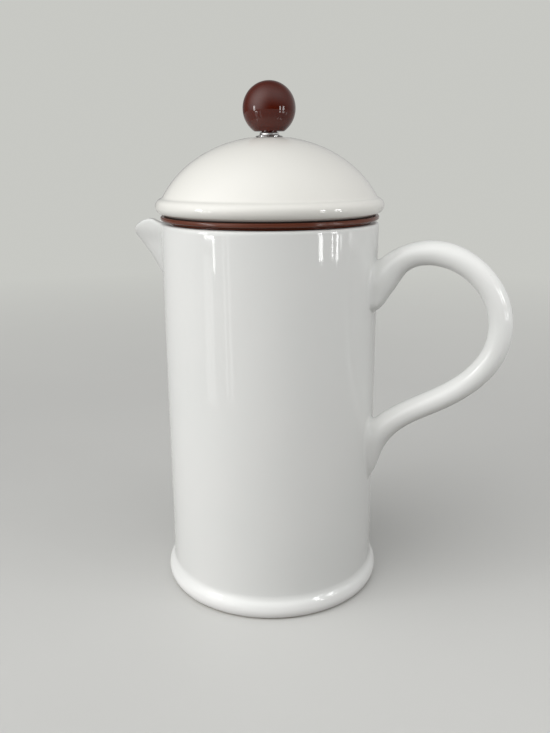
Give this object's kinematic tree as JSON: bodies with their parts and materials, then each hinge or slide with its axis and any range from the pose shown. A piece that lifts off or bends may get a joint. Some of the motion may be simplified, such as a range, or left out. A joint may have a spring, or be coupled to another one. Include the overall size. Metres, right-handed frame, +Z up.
{
  "type": "chocolate pot",
  "caption": "Tall glazed ceramic pot with beaked spout, loop handle, domed lift-off lid and a plunger with a ball knob for frothing hot drinks.",
  "frame": {"origin": "centre of the foot ring, on the surface that the pot stands on", "axes": "+Z up along the pot's axis; the handle points along +X and the spout along -X; XZ is the pot's plane of symmetry"},
  "size_m": [0.1893, 0.1102, 0.2465],
  "materials": {
    "white_glaze": "glossy clear-glazed white",
    "brown_knob": "polished dark red-brown",
    "brown_plastic": "moulded dark red-brown",
    "dark_silicone": "soft, dull",
    "polished_metal": "mirror polished",
    "stainless": "drawn and lightly polished",
    "brass": "turned",
    "nylon": "natural moulded"
  },
  "bodies": {
    "pot_body": {"pot": "white_glaze", "spout": "white_glaze", "handle": "white_glaze"},
    "lid_seal": {"seal_ring": "dark_silicone"},
    "lid": {"lid_dome": "white_glaze", "lid_insert": "brown_plastic", "dome_cushion": "dark_silicone", "guide_collar": "polished_metal", "collar_washer": "dark_silicone", "nut_washer": "stainless", "collar_nut": "stainless"},
    "guide": {"guide_liner": "nylon"},
    "plunger": {"knob_ball": "brown_knob", "knob_insert": "brass", "plunger_rod": "stainless", "froth_disc": "brown_plastic", "disc_top_nut": "stainless", "disc_top_washer": "stainless", "disc_bottom_washer": "stainless", "disc_cap_nut": "stainless"}
  },
  "joints": [
    {"name": "lid_lift", "type": "slide", "parent": "pot_body", "child": "lid_seal", "axis": [0, 0, 1], "range_m": [0, 0.18]},
    {"name": "lid_turn", "type": "hinge", "parent": "lid_seal", "child": "lid", "pos_m": [0, 0, 0.176], "axis": [0, 0, 1], "continuous": true},
    {"name": "plunger_turn", "type": "hinge", "parent": "lid", "child": "guide", "pos_m": [0, 0, 0.2236], "axis": [0, 0, 1], "continuous": true},
    {"name": "plunger_slide", "type": "slide", "parent": "guide", "child": "plunger", "axis": [0, 0, 1], "range_m": [0, 0.143]}
  ]
}
